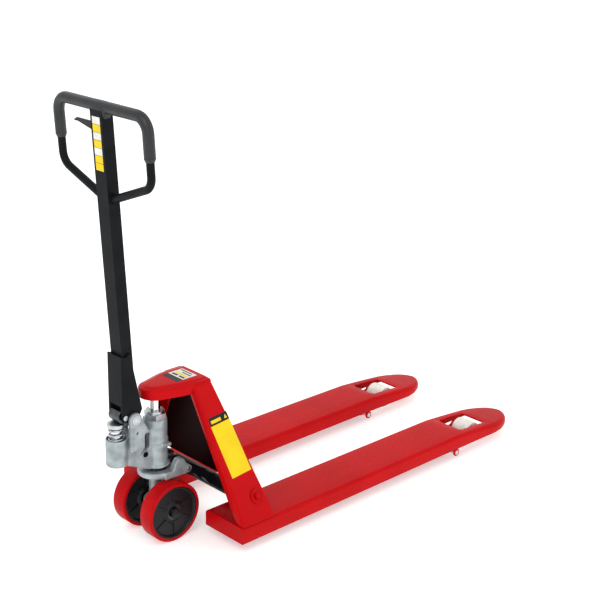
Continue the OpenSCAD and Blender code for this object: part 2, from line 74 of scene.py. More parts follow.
def placeCamera():
    turn, dip, roll = camera["turn"], camera["dip"], camera["roll"]
    ahead = Vector((math.cos(turn) * math.cos(dip), math.sin(turn) * math.cos(dip), -math.sin(dip)))
    flatRight = Vector((math.sin(turn), -math.cos(turn), 0))
    flatUp = flatRight.cross(ahead)
    right = flatRight * math.cos(roll) + flatUp * math.sin(roll)
    up = flatUp * math.cos(roll) - flatRight * math.sin(roll)
    data = bpy.data.cameras.new("mainCamera")
    data.lens = camera["lens"]
    data.sensor_width = 36
    data.shift_x, data.shift_y = camera["shift"]
    data.clip_end = 50
    holder = bpy.data.objects.new("mainCamera", data)
    turned = Matrix((right, up, -ahead)).transposed().to_4x4()
    holder.matrix_world = Matrix.Translation(camera["place"]) @ turned
    bpy.context.scene.collection.objects.link(holder)
    bpy.context.scene.camera = holder


studio = {
    "worldColour": "#ffffff",
    "worldStrength": 1.0,
    "lamps": [
        {"name": "keyLamp", "place": (-2.6, -1.6, 3.4), "size": 1.6, "power": 30},
        {"name": "sideLamp", "place": (1.6, -3.4, 2.2), "size": 2.0, "power": 12},
        {"name": "backLamp", "place": (0.5, 3.4, 3.0), "size": 2.4, "power": 10},
    ],
    "aim": (-0.2, 0, 0.3),
}


def toLinear(hexColour):
    channels = [int(hexColour[i:i + 2], 16) / 255 for i in (1, 3, 5)]
    return [c / 12.92 if c <= 0.04045 else ((c + 0.055) / 1.055) ** 2.4 for c in channels] + [1.0]


def addNode(tree, kind, settings=None, links=None):
    node = tree.nodes.new(kind)
    for name, value in (settings or {}).items():
        if isinstance(name, int) or name in node.inputs:
            node.inputs[name].default_value = value
        else:
            setattr(node, name, value)
    for name, source in (links or {}).items():
        tree.links.new(source, node.inputs[name])
    return node


def lightStudio():
    world = bpy.data.worlds.new("whiteStudio")
    bpy.context.scene.world = world
    world.use_nodes = True
    background = world.node_tree.nodes["Background"]
    background.inputs["Color"].default_value = toLinear(studio["worldColour"])
    background.inputs["Strength"].default_value = studio["worldStrength"]
    for lamp in studio["lamps"]:
        data = bpy.data.lights.new(lamp["name"], "AREA")
        data.size = lamp["size"]
        data.energy = lamp["power"]
        holder = bpy.data.objects.new(lamp["name"], data)
        holder.location = lamp["place"]
        aim = Vector(studio["aim"]) - Vector(lamp["place"])
        holder.rotation_euler = aim.to_track_quat("-Z", "Y").to_euler()
        bpy.context.scene.collection.objects.link(holder)


placeCamera()
lightStudio()
bpy.context.scene.view_settings.view_transform = "Standard"
print("camera and light ready")

# finishes: what each one is made of, and what that gives the eye

finishes = {}


def makeFinish(slot, look):
    # patchMm: size of the slow change in tone; grainMm: size of the fine relief; reliefMm: its height
    material = bpy.data.materials.new(look["name"])
    material.use_nodes = True
    tree = material.node_tree
    shader = tree.nodes["Principled BSDF"]
    for name, value in look["shader"].items():
        shader.inputs[name].default_value = value
    place = addNode(tree, "ShaderNodeTexCoord")
    onObject = {"Vector": place.outputs["Object"]}
    stretched = addNode(tree, "ShaderNodeMapping", {"Scale": look.get("stretch", (1, 1, 1))}, onObject)
    patches = addNode(tree, "ShaderNodeTexNoise", {"Scale": 1 / (look["patchMm"] * mm), "Detail": 4.0}, onObject)
    grain = addNode(tree, "ShaderNodeTexNoise", {"Scale": 1 / (look["grainMm"] * mm), "Detail": 3.0},
                    {"Vector": stretched.outputs["Vector"]})
    ramp = addNode(tree, "ShaderNodeValToRGB", links={"Fac": patches.outputs["Fac"]})
    for stop, position, colour in zip(ramp.color_ramp.elements, (0.32, 0.66), ("shade", "colour")):
        stop.position = position
        stop.color = toLinear(look[colour])
    gloss = addNode(tree, "ShaderNodeMapRange", {"To Min": look["rough"][0], "To Max": look["rough"][1]},
                    {"Value": grain.outputs["Fac"]})
    relief = addNode(tree, "ShaderNodeBump", {"Strength": look["strength"], "Distance": look["reliefMm"] * mm},
                     {"Height": grain.outputs["Fac"]})
    tree.links.new(ramp.outputs["Color"], shader.inputs["Base Color"])
    tree.links.new(gloss.outputs["Result"], shader.inputs["Roughness"])
    tree.links.new(relief.outputs["Normal"], shader.inputs["Normal"])
    finishes[slot] = material


finishLooks = {
    # stoving enamel sprayed on pressed steel: deep even red with a faint orange peel
    "red_paint": {
        "name": "redStovingEnamel", "colour": "#bd0a10", "shade": "#ae070c",
        "patchMm": 190, "grainMm": 3.5, "reliefMm": 0.06, "rough": (0.2, 0.32),
        "strength": 0.25,
        "shader": {"Specular IOR Level": 0.05, "IOR": 1.5},
    },
    # red enamel with the shade inside the frame painted into its colour: nearly black and dull
    "dark_red_paint": {
        "name": "redEnamelPaintedShade", "colour": "#1f0709", "shade": "#150506",
        "patchMm": 70, "grainMm": 2.5, "reliefMm": 0.1, "rough": (0.38, 0.55),
        "strength": 0.3,
        "shader": {"Specular IOR Level": 0.03, "IOR": 1.5},
    },
    # baked powder coat: satin, with a fine pebbled skin
    "black_paint": {
        "name": "satinBlackPowderCoat", "colour": "#17191c", "shade": "#101214",
        "patchMm": 60, "grainMm": 1.4, "reliefMm": 0.12, "rough": (0.3, 0.44),
        "strength": 0.35,
        "shader": {"Specular IOR Level": 0.06, "IOR": 1.5},
    },
    # moulded soft PVC: matt, slightly wrinkled skin
    "grip_rubber": {
        "name": "mouldedBlackPvc", "colour": "#212327", "shade": "#16181b",
        "patchMm": 35, "grainMm": 1.8, "reliefMm": 0.25, "rough": (0.36, 0.52),
        "strength": 0.5,
        "shader": {"Specular IOR Level": 0.4, "IOR": 1.52},
    },
    # aluminium paint over a sand casting: dull silver with soft lumps
    "cast_housing": {
        "name": "silverPaintedSandCasting", "colour": "#a9b3b6", "shade": "#889194",
        "patchMm": 30, "grainMm": 4.5, "reliefMm": 0.45, "rough": (0.34, 0.52),
        "strength": 0.55,
        "shader": {"Metallic": 0.45, "IOR": 1.5},
    },
    # bright zinc plate on turned steel: turning lines round the bar
    "zinc_steel": {
        "name": "zincPlatedSteel", "colour": "#c6cacc", "shade": "#aab0b4",
        "patchMm": 18, "grainMm": 1.6, "reliefMm": 0.04, "rough": (0.22, 0.38),
        "strength": 0.3, "stretch": (1, 0.15, 1),
        "shader": {"Metallic": 1.0},
    },
    # ground and hard-chromed rod: near mirror with hair-fine scratches
    "polished_steel": {
        "name": "hardChromedRod", "colour": "#e2e4e6", "shade": "#d2d5d8",
        "patchMm": 30, "grainMm": 1.0, "reliefMm": 0.01, "rough": (0.06, 0.14),
        "strength": 0.2, "stretch": (1, 1, 0.1),
        "shader": {"Metallic": 1.0},
    },
    # hardened and oiled bearing steel: dark grey and smooth
    "bearing_steel": {
        "name": "oiledBearingSteel", "colour": "#5c6063", "shade": "#46494c",
        "patchMm": 14, "grainMm": 1.2, "reliefMm": 0.02, "rough": (0.18, 0.32),
        "strength": 0.2,
        "shader": {"Metallic": 1.0},
    },
    # cast polyurethane, machined on the rolling face: waxy red with fine cutter lines
    "red_urethane": {
        "name": "castRedUrethane", "colour": "#b80a11", "shade": "#a6080d",
        "patchMm": 45, "grainMm": 1.6, "reliefMm": 0.06, "rough": (0.33, 0.48),
        "strength": 0.3, "stretch": (0.2, 1, 0.2),
        "shader": {"Specular IOR Level": 0.06, "IOR": 1.5},
    },
    # glass-filled nylon moulding: dark and satin with flow marks
    "black_core": {
        "name": "mouldedBlackNylon", "colour": "#17181b", "shade": "#0e0f11",
        "patchMm": 26, "grainMm": 2.2, "reliefMm": 0.12, "rough": (0.34, 0.48),
        "strength": 0.35,
        "shader": {"Specular IOR Level": 0.22, "IOR": 1.53},
    },
    # turned natural nylon: milky with fine lathe lines
    "nylon": {
        "name": "turnedNaturalNylon", "colour": "#ece7de", "shade": "#d9d3c8",
        "patchMm": 20, "grainMm": 1.3, "reliefMm": 0.05, "rough": (0.3, 0.42),
        "strength": 0.3, "stretch": (0.2, 1, 0.2),
        "shader": {"IOR": 1.53, "Subsurface Weight": 0.1, "Subsurface Scale": 0.004},
    },
    # laminated vinyl film: even colour with a faint lift of the surface
    "label_yellow": {
        "name": "yellowVinylFilm", "colour": "#e8c80c", "shade": "#dfbd08",
        "patchMm": 40, "grainMm": 5, "reliefMm": 0.05, "rough": (0.3, 0.42),
        "strength": 0.2,
        "shader": {"Specular IOR Level": 0.2, "IOR": 1.48},
    },
    # the same film in white
    "label_white": {
        "name": "whiteVinylFilm", "colour": "#e4e4de", "shade": "#d2d2cb",
        "patchMm": 30, "grainMm": 5, "reliefMm": 0.05, "rough": (0.3, 0.42),
        "strength": 0.2,
        "shader": {"Specular IOR Level": 0.2, "IOR": 1.48},
    },
    # the same film in black
    "label_black": {
        "name": "blackVinylFilm", "colour": "#17171a", "shade": "#101013",
        "patchMm": 30, "grainMm": 5, "reliefMm": 0.05, "rough": (0.3, 0.42),
        "strength": 0.2,
        "shader": {"Specular IOR Level": 0.2, "IOR": 1.48},
    },
    # moulded acetal lever: black with a soft sheen
    "lever_plastic": {
        "name": "mouldedBlackAcetal", "colour": "#1c1e21", "shade": "#141518",
        "patchMm": 22, "grainMm": 1.5, "reliefMm": 0.08, "rough": (0.28, 0.4),
        "strength": 0.3,
        "shader": {"Specular IOR Level": 0.25, "IOR": 1.48},
    },
}
for slot, look in finishLooks.items():
    makeFinish(slot, look)

nodeSlot = {entry["node"]: entry["material_slot"] for entry in frame["record"]["subparts"]}
for name, cadNode in cadNodes.items():
    cadNode.data.materials.clear()
    cadNode.data.materials.append(finishes[nodeSlot[name]])
print("finishes ready")

# floor

# unglazed paper roll: white, matt, and lit so that its far edge fades out
floorLook = {
    "sizeM": 24, "name": "paleStudioPaper", "colour": "#f6f6f4", "shade": "#f2f2f0",
    "patchMm": 900, "grainMm": 30, "reliefMm": 0.02, "rough": (0.7, 0.8), "strength": 0.1,
    "shader": {"Emission Color": (1, 1, 1, 1), "Emission Strength": 0.4},
}


def layFloor():
    form = bmesh.new()
    bmesh.ops.create_grid(form, x_segments=2, y_segments=2, size=floorLook["sizeM"] / 2)
    mesh = bpy.data.meshes.new("studioFloor")
    form.to_mesh(mesh)
    form.free()
    floor = bpy.data.objects.new("studioFloor", mesh)
    bpy.context.scene.collection.objects.link(floor)
    makeFinish("floor", floorLook)
    mesh.materials.append(finishes["floor"])


layFloor()

# making pieces


def place(x, y, z):
    # millimetres from the fork heels, the middle and the floor, to the frame's metres
    return Vector((heelX + x * mm, y * mm, z * mm))


def roundEdges(piece, widthMm, steps=2, angleDeg=40):
    edge = piece.modifiers.new("roundedEdges", "BEVEL")
    edge.width = widthMm * mm
    edge.segments = steps
    edge.limit_method = "ANGLE"
    edge.angle_limit = math.radians(angleDeg)


def addPiece(name, form, slot, body, replaced=(), smoothDeg=35, edgeMm=0, edgeSteps=2, wallMm=0,
             mirrored=False):
    if mirrored:
        bmesh.ops.scale(form, vec=(1, -1, 1), verts=form.verts)
    bmesh.ops.remove_doubles(form, verts=form.verts, dist=0.003 * mm)
    bmesh.ops.recalc_face_normals(form, faces=form.faces)
    mesh = bpy.data.meshes.new(name)
    form.to_mesh(mesh)
    form.free()
    piece = bpy.data.objects.new(name, mesh)
    bpy.context.scene.collection.objects.link(piece)
    mesh.materials.append(finishes[slot])
    mesh.shade_smooth()
    mesh.set_sharp_from_angle(angle=math.radians(smoothDeg))
    if wallMm:
        wall = piece.modifiers.new("wall", "SOLIDIFY")
        wall.thickness = wallMm * mm
        wall.offset = -1
    if edgeMm:
        roundEdges(piece, edgeMm, edgeSteps, 32)
    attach(piece, body)
    # the record has no black film; the nodes that the piece stands in for are hidden
    if replaced:
        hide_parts(*replaced)
    return piece


def bodyOf(node):
    for body, members in frame["record"]["behaviour"]["bodies"].items():
        if node in members:
            return body


def softened(node, edgeMm, edgeSteps=2):
    # a node's own shape with its sharp edges broken, as a machined or pressed piece has
    form = bmesh.new()
    form.from_mesh(cadNodes[node].data)
    bmesh.ops.remove_doubles(form, verts=form.verts, dist=0.003 * mm)
    bmesh.ops.dissolve_limit(form, angle_limit=math.radians(0.5), verts=form.verts, edges=form.edges)
    return addPiece(node + "_finished", form, nodeSlot[node], bodyOf(node), (node,), 35, edgeMm, edgeSteps)


def carve(piece, cutForm):
    # takes the cutter's shape out of the piece's mesh
    cutMesh = bpy.data.meshes.new("cutter")
    bmesh.ops.recalc_face_normals(cutForm, faces=cutForm.faces)
    cutForm.to_mesh(cutMesh)
    cutForm.free()
    cutter = bpy.data.objects.new("cutter", cutMesh)
    bpy.context.scene.collection.objects.link(cutter)
    cut = piece.modifiers.new("cut", "BOOLEAN")
    cut.operation = "DIFFERENCE"
    cut.solver = "EXACT"
    cut.object = cutter
    settle(piece)
    bpy.data.objects.remove(cutter)
    return piece


def settle(piece):
    # the shape with its modifiers becomes the piece's own mesh
    graph = bpy.context.evaluated_depsgraph_get()
    graph.update()
    settled = bpy.data.meshes.new_from_object(piece.evaluated_get(graph), depsgraph=graph)
    piece.modifiers.clear()
    piece.data = settled
    return piece


def tube(name, points, radiusMm, slot, body, replaced=(), around=24):
    # a bent tube along a smooth line, points in metres
    line = bpy.data.curves.new(name, "CURVE")
    line.dimensions = "3D"
    line.bevel_depth = radiusMm * mm
    line.bevel_resolution = around // 4
    line.use_fill_caps = True
    spline = line.splines.new("POLY")
    spline.points.add(len(points) - 1)
    for spot, point in zip(spline.points, points):
        spot.co = (*point, 1)
    holder = bpy.data.objects.new(name + "Line", line)
    bpy.context.scene.collection.objects.link(holder)
    graph = bpy.context.evaluated_depsgraph_get()
    mesh = bpy.data.meshes.new_from_object(holder.evaluated_get(graph))
    bpy.data.objects.remove(holder)
    form = bmesh.new()
    form.from_mesh(mesh)
    bpy.data.meshes.remove(mesh)
    return addPiece(name, form, slot, body, replaced, 50)


def bend(corner, before, after, radius, steps):
    # the arc that rounds a corner between two directions, in metres
    inward, onward = (before - corner).normalized(), (after - corner).normalized()
    half = inward.angle(onward) / 2
    reach = radius / math.tan(half)
    centre = corner + (inward + onward).normalized() * radius / math.sin(half)
    first = (corner + inward * reach - centre).normalized()
    last = (corner + onward * reach - centre).normalized()
    return [centre + first.slerp(last, i / steps) * radius for i in range(steps + 1)]


def ringForm(profile, axis, centre, steps=64):
    # profile: (distance from the axis, place along it) in mm, spun about the axis
    form = bmesh.new()
    along = Vector(axis).normalized()
    out = along.orthogonal().normalized()
    verts = [form.verts.new(Vector(centre) + out * r * mm + along * h * mm) for r, h in profile]
    edges = [form.edges.new((verts[i], verts[(i + 1) % len(verts)])) for i in range(len(verts))]
    bmesh.ops.spin(form, geom=verts + edges, cent=centre, axis=along, angle=2 * math.pi, steps=steps,
                   use_merge=True)
    return form


def discForm(radius, low, high, axis, centre, sides, chamfer):
    # a disc or hexagon with a chamfered rim, lying between two heights along the axis
    form = bmesh.new()
    along = Vector(axis).normalized()
    turn = along.to_track_quat("Z", "Y").to_matrix().to_4x4()
    bmesh.ops.create_cone(form, cap_ends=True, segments=sides, radius1=radius * mm, radius2=radius * mm,
                          depth=(high - low) * mm)
    rim = [edge for edge in form.edges if abs(edge.verts[0].co.z - edge.verts[1].co.z) < 1e-7]
    bmesh.ops.bevel(form, geom=rim, offset=chamfer * mm, affect="EDGES", segments=2, profile=0.5, material=-1)
    shift = Matrix.Translation(Vector(centre) + along * (low + high) / 2 * mm)
    bmesh.ops.transform(form, matrix=shift @ turn, verts=form.verts)
    return form


def boxForm(low, high):
    form = bmesh.new()
    bmesh.ops.create_cube(form, size=1)
    bmesh.ops.scale(form, vec=high - low, verts=form.verts)
    bmesh.ops.translate(form, vec=(low + high) / 2, verts=form.verts)
    return form


def merge(forms):
    whole = bmesh.new()
    for form in forms:
        spare = bpy.data.meshes.new("spare")
        form.to_mesh(spare)
        form.free()
        whole.from_mesh(spare)
        bpy.data.meshes.remove(spare)
    return whole


def rowsForm(rows, closed=False, caps=False):
    # skins a sheet over rows of points, each row the last one's edges extruded
    form = bmesh.new()
    verts = [form.verts.new(point) for point in rows[0]]
    count = len(verts)
    last = count if closed else count - 1
    edges = [form.edges.new((verts[i], verts[(i + 1) % count])) for i in range(last)]
    if caps:
        form.faces.new(verts)
    for row in rows[1:]:
        made = bmesh.ops.extrude_edge_only(form, edges=edges)["geom"]
        newVerts = [item for item in made if isinstance(item, bmesh.types.BMVert)]
        newEdges = [item for item in made if isinstance(item, bmesh.types.BMEdge)]
        edges = [edge for edge in newEdges if edge.verts[0] in newVerts and edge.verts[1] in newVerts]
        pairs = {}
        for vert in newVerts:
            old = next(edge.other_vert(vert) for edge in vert.link_edges if edge.other_vert(vert) in verts)
            pairs[verts.index(old)] = vert
        verts = [pairs[i] for i in range(count)]
        for vert, point in zip(verts, row):
            vert.co = point
    if caps:
        form.faces.new(verts)
    return form


# forks

forkLook = {
    "middle": 195, "width": 160, "length": 1250, "wall": 5, "corner": 11,
    "top": 82, "low": 32, "lowAlong": 38,  # lower edge at the heel, then along the fork
    "taperFrom": 955, "fall": 22,  # the top falls towards the tip
    "curlFrom": 1140, "curl": 13, "noseLength": 120,  # the lower edge rises under the round nose
    "stations": [0.5, 6, 30, 140, 420, 700, 900, 955, 985, 1015, 1045, 1075, 1110, 1140, 1170, 1190,
                 1205, 1217, 1228, 1237, 1243, 1247, 1249.4],
    # holes in the top: middle, length, width and corner radius
    "window": {"x": 1047.5, "long": 125, "wide": 96, "corner": 13, "z": 84, "deep": 60},
    "slot": {"x": 105.5, "long": 67, "wide": 32, "corner": 0, "z": 82, "deep": 30},
    "ear": {"x": 935, "z": 26, "out": 77.4, "profile": [(7.8, -2.4), (12.6, -2.4), (12.6, 2.4), (7.8, 2.4)]},
}


def forkRow(x):
    # half the width, the top and the lower edge of a fork at x
    length, half = forkLook["length"], forkLook["width"] / 2
    nose = forkLook["noseLength"]
    if x > length - nose:
        half *= math.sqrt(max(0.0, 1 - ((x - length + nose) / nose) ** 2))
    fall = max(0.0, x - forkLook["taperFrom"]) / (length - forkLook["taperFrom"])
    top = forkLook["top"] - forkLook["fall"] * fall ** 1.15
    # the lower edge is straight at the heel's end plate, then rises slowly
    rise = max(0.0, min(1.0, (x - 40) / 860))
    low = forkLook["low"] + (forkLook["lowAlong"] - forkLook["low"]) * rise
    if x > forkLook["curlFrom"]:
        curl = (x - forkLook["curlFrom"]) / (length - forkLook["curlFrom"])
        low = forkLook["lowAlong"] + forkLook["curl"] * curl ** 1.6
    return max(half, 0.6), top, low


def forkForm(side):
    # an open-bottomed shell, section by section from the heel to the nose
    rows = []
    start, length = forkLook["taperFrom"], forkLook["length"]
    for x in forkLook["stations"]:
        half, top, low = forkRow(x)
        softer = 10 * max(0, x - start) / (length - start)
        corner = min(forkLook["corner"] + softer, half * 0.8, (top - low) * 0.8)
        row = [(-half, low), (-half, low + 0.35 * (top - low - corner))]
        for i in range(7):
            turn = math.pi / 12 * i
            row.append((-half + corner - corner * math.cos(turn), top - corner + corner * math.sin(turn)))
        row += [(-half / 3, top)]
        row += [(-y, z) for y, z in reversed(row)]
        rows.append([place(x, side * forkLook["middle"] + y, z) for y, z in row])
    form = rowsForm(rows)
    # heel end plate and nose are closed
    for edgeX in (rows[0], rows[-1]):
        verts = [v for v in form.verts if abs(v.co.x - edgeX[0].x) < 1e-7]
        verts.sort(key=lambda v: math.atan2(v.co.z - 0.05, v.co.y - side * 0.195))
        form.faces.new(verts)
    return form


def holeCutter(side, hole):
    # a block with rounded upright edges
    form = bmesh.new()
    bmesh.ops.create_cube(form, size=1)
    bmesh.ops.scale(form, vec=(hole["long"] * mm, hole["wide"] * mm, hole["deep"] * mm), verts=form.verts)
    if hole["corner"]:
        upright = [edge for edge in form.edges if abs(edge.verts[0].co.z - edge.verts[1].co.z) > 0.1 * mm]
        bmesh.ops.bevel(form, geom=upright, offset=hole["corner"] * mm, affect="EDGES", segments=6,
                        profile=0.5, material=-1)
    bmesh.ops.translate(form, vec=place(hole["x"], side * forkLook["middle"], hole["z"]), verts=form.verts)
    return form


for side, word in ((-1, "right"), (1, "left")):
    fork = addPiece("forkPressing_" + word, forkForm(side), "red_paint", "frame", ("fork_" + word,), 40,
                    wallMm=forkLook["wall"])
    settle(fork)
    carve(fork, holeCutter(side, forkLook["window"]))
    carve(fork, holeCutter(side, forkLook["slot"]))
    roundEdges(fork, 1.6, 3)
    earLook = forkLook["ear"]
    for y in (-1, 1):
        # round ear below the wall for the link's pivot pin
        spot = place(earLook["x"], side * forkLook["middle"] + y * earLook["out"], earLook["z"])
        ear = ringForm(earLook["profile"], (0, 1, 0), spot, 40)
        where = "outer" if y * side > 0 else "inner"
        addPiece(f"linkEar_{word}_{where}", ear, "red_paint", "frame", edgeMm=0.8)
print("forks ready")

# flared side plates and the head

plateLook = {
    "inner": (5, -5), "front": (129, 60),  # x of the rear and front edges, low and high
    "rollMm": 9, "foldMm": 28, "frontRollMm": 6, "frontFoldMm": 10, "wall": 4.2,
    "restsAt": 0.0818,  # height of the plate's lower edge, on the fork
    "stations": [1, 8, 16, 30, 60, 110, 180, 250, 320, 370, 400, 415],
    "boss": {"x": 84, "up": 72},
    "bossProfile": [(0.5, -20), (15, -20), (15, -0.5), (19, 0), (21.5, 1.2), (22, 3.5), (20.5, 5.4),
                    (17.5, 5.4), (15, 3.4), (11, 2.6), (0.5, 2.6)],
}
plateLow, plateHigh = 0.082, headTop - 0.006
flareRun = forkSide - 0.066
flareAngle = math.atan(flareRun / (plateHigh - plateLow))
flareLength = math.hypot(flareRun, plateHigh - plateLow) / mm
flareTurn = Matrix.Rotation(math.pi / 2 - flareAngle, 4, "X")
plateFrame = Matrix.Translation((heelX, -forkSide, plateLow)) @ flareTurn


def onPlate(x, up, out):
    return plateFrame @ Vector((x * mm, up * mm, out * mm))


def plateRow(up):
    # across a side plate: inner edge of the rear fold, round it, over the face, round the front edge
    share = up / flareLength
    rear = plateLook["inner"][0] + (plateLook["inner"][1] - plateLook["inner"][0]) * share
    front = plateLook["front"][0] + (plateLook["front"][1] - plateLook["front"][0]) * share
    roll, frontRoll = plateLook["rollMm"], plateLook["frontRollMm"]
    fold = plateLook["foldMm"] if up > 14 else plateLook["foldMm"] * 0.55
    angles = [math.pi / 2 * i / 8 for i in range(9)]
    row = [(rear, -fold), (rear, -(fold + roll) / 2)]
    row += [(rear + roll - roll * math.cos(a), -roll + roll * math.sin(a)) for a in angles]
    row += [(rear + (front - rear) * 0.5, 0)]
    middle = front - frontRoll
    row += [(middle + frontRoll * math.sin(a), -frontRoll + frontRoll * math.cos(a)) for a in angles]
    row += [(front, -plateLook["frontFoldMm"])]
    return row


def platePoint(x, out, up):
    point = onPlate(x, up, out)
    if point.z < plateLook["restsAt"]:
        point.z = plateLook["restsAt"]
        point.y = max(point.y, -forkSide)
    return point


for mirrored, word in ((False, "right"), (True, "left")):
    stations = plateLook["stations"] + [flareLength]
    rows = [[platePoint(x, out, up) for x, out in plateRow(up)] for up in stations]
    plate = addPiece("sidePlate_" + word, rowsForm(rows), "red_paint", "frame", ("side_plate_" + word,), 50,
                     wallMm=plateLook["wall"], mirrored=mirrored)
    settle(plate)
    roundEdges(plate, 1.0, 1, 45)
    # raised boss with a dished face and its bolt
    boss = plateLook["boss"]
    centre = onPlate(boss["x"], boss["up"], 0)
    out = (onPlate(boss["x"], boss["up"], 10) - centre).normalized()
    rings = [ringForm(plateLook["bossProfile"], out, centre, 56)]
    rings.append(discForm(9.5, 2.4, 8.4, out, centre, 6, 0.9))
    rings.append(discForm(4.6, 8.3, 9.2, out, centre, 24, 0.4))
    addPiece("plateBoss_" + word, merge(rings), "red_paint", "frame", ("frame_bosses",), mirrored=mirrored)

headLook = {"noseX": -90, "noseR": 46, "half": 66, "rear": -14, "front": 62, "skirt": 34, "crown": 12,
            "wall": 4, "edgeRoll": 7, "domeRun": 17}


def headRow(inset, z):
    # the head's outline at one height: straight sides, then round the nose over the ram
    nose, radius = headLook["noseX"], headLook["noseR"] - inset
    half = headLook["half"] - inset
    turns = [math.radians(262 - (262 - 98) * i / 24) for i in range(25)]
    rear = headLook["rear"]
    right = [(headLook["front"] - inset * 0.4, -half), (rear + 20, -half), (rear, -half), (rear - 18, -half + 2.4)]
    curve = [(nose + radius * math.cos(a), radius * math.sin(a)) for a in turns]
    left = [(x, -y) for x, y in reversed(right)]
    return [place(x, y, z) for x, y in right + curve + left]


headZ = headTop / mm
crown = headLook["crown"]
skirtZ, roll = headZ - headLook["skirt"], headLook["edgeRoll"]
headRows = [headRow(4.6, skirtZ), headRow(0, skirtZ), headRow(0, headZ - crown - 9)]
for i in range(7):
    turn = math.pi / 2 * i / 6
    headRows.append(headRow(roll - roll * math.cos(turn), headZ - crown + roll * math.sin(turn) - 0.5))
for share in (0.3, 0.6, 0.85, 1.0):
    # shallow dome inside the rolled edge
    lift = (crown - 6.5) * math.sin(share * math.pi / 2)
    headRows.append(headRow(roll + headLook["domeRun"] * share, headZ - crown + 6.5 + lift))
headForm = rowsForm(headRows, closed=True)
topRing = [v for v in headForm.verts if abs(v.co.z - headTop) < 1e-6]
topEdges = [e for e in headForm.edges if e.verts[0] in topRing and e.verts[1] in topRing]
bmesh.ops.contextual_create(headForm, geom=topEdges)
addPiece("headPressing", headForm, "red_paint", "frame", ("head_box",), wallMm=headLook["wall"])
pad = discForm(29, -24, -9, (0, 0, 1), Vector((steerX, 0, headTop)), 40, 1.5)
addPiece("ramPad", pad, "red_paint", "frame")
# the front plate is painted nearly black on both faces: painted shade from inside the frame
softened("front_plate", 1.0)
softened("rocker_bearing_blocks", 1.2)
print("frame plates and head ready")

# films: plain blocks of colour

filmLook = {
    "side": [
        # slot, then corners (x, up) on the side plate
        ("label_yellow", [(23, 143), (96, 149), (79, 306), (8, 300)]),
        ("label_black", [(8, 301), (79, 307), (76, 330), (7, 324)]),
    ],
    "sideMarks": [
        ("label_yellow", [(13, 306.5), (50, 309.5), (49.5, 319), (12.6, 316)]),
        ("label_yellow", [(62, 311), (73, 312), (67, 323)]),
    ],
    "head": [
        ("label_black", [(-36, -33), (-14, -33), (-14, 33), (-36, 33)]),
        ("label_white", [(-14, -33), (38, -33), (38, 33), (-14, 33)]),
    ],
    "headMarks": [
        ("label_black", [(-8, -28), (0, -28), (0, -4), (-8, -4)]),
        ("label_yellow", [(4, -28), (12, -28), (12, 26), (4, 26)]),
        ("label_black", [(-8, 2), (0, 2), (0, 26), (-8, 26)]),
        ("label_black", [(17, -28), (22, -28), (22, 10), (17, 10)]),
        ("label_black", [(28, -20), (33, -20), (33, 28), (28, 28)]),
    ],
    # blocks up the back of the post, lowest first
    "post": ["label_yellow", "label_yellow", "label_white", "label_yellow", "label_white", "label_yellow",
             "label_white"],
    "postLow": 703, "postStep": 20.1, "postGap": 1.2, "postHalf": 16,
}


def filmForm(points, low, high, onto):
    form = bmesh.new()
    face = form.faces.new([form.verts.new(onto(a, b, low)) for a, b in points])
    made = bmesh.ops.extrude_face_region(form, geom=[face])["geom"]
    lifted = [item for item in made if isinstance(item, bmesh.types.BMVert)]
    bmesh.ops.translate(form, vec=onto(0, 0, high) - onto(0, 0, low), verts=lifted)
    return form


def onHead(x, y, up):
    return place(x, y, headZ + up)


for mirrored, word in ((False, "right"), (True, "left")):
    for layer, group in ((0.3, "side"), (0.55, "sideMarks")):
        for i, (slot, corners) in enumerate(filmLook[group]):
            film = filmForm(corners, 0.02, layer, onPlate)
            stands = ("side_label_sheets",) if group == "side" and i == 0 and not mirrored else ()
            addPiece(f"{group}Film{i}_{word}", film, slot, "frame", stands, mirrored=mirrored)
for layer, group in ((0.35, "head"), (0.55, "headMarks")):
    for i, (slot, corners) in enumerate(filmLook[group]):
        film = filmForm(corners, 0.02, layer, onHead)
        stands = ("head_label_sheet",) if group == "head" and i == 0 else ()
        addPiece(f"{group}Film{i}", film, slot, "frame", stands)
print("films ready")

# handle: post, loop, grip and bracket

lean = math.radians(3.8)
postFrame = Matrix.Translation((pivotX, 0, pivotZ)) @ Matrix.Rotation(-lean, 4, "Y")


def onPost(x, y, up):
    return postFrame @ Vector((x * mm, y * mm, up * mm))


handleLook = {
    "barUp": 866, "half": 188, "bend": 40, "lowUp": 718, "slant": 21, "armEnd": 27,
    "tube": 11, "grip": 15.2, "gripLow": 766,
    "collarProfile": [(11.1, -9), (12.4, -9), (13.6, -5), (15.3, -1), (15.4, 1), (11.1, 1)],
    "weldProfile": [(10.6, -1.5), (13.6, -2.2), (14.4, -0.4), (13, 1.6), (11, 2.4)],
    # height up the post, then half the saddle's depth and width there
    "saddle": [(838, 17.6, 24.2), (846, 17.6, 26), (853, 17.6, 31), (860, 17.6, 37), (866, 16.6, 41),
               (874, 12.6, 39), (880, 7, 32)],
}


def loopLine():
    up, half, low = handleLook["barUp"], handleLook["half"], handleLook["lowUp"]
    slant = math.radians(handleLook["slant"])
    drop = handleLook["bend"] * math.tan((math.pi / 2 - slant) / 2)
    cornerUp = low - drop
    end = handleLook["armEnd"]
    endUp = cornerUp - (half - end) * math.tan(slant)
    spots = [(end, endUp), (half, cornerUp), (half, up), (-half, up), (-half, cornerUp), (-end, endUp)]
    corners = [onPost(0, y, z) for y, z in spots]
    points = [corners[0]]
    for before, corner, after in zip(corners, corners[1:], corners[2:]):
        points += bend(corner, before, after, handleLook["bend"] * mm, 12)
    return points + [corners[-1]]


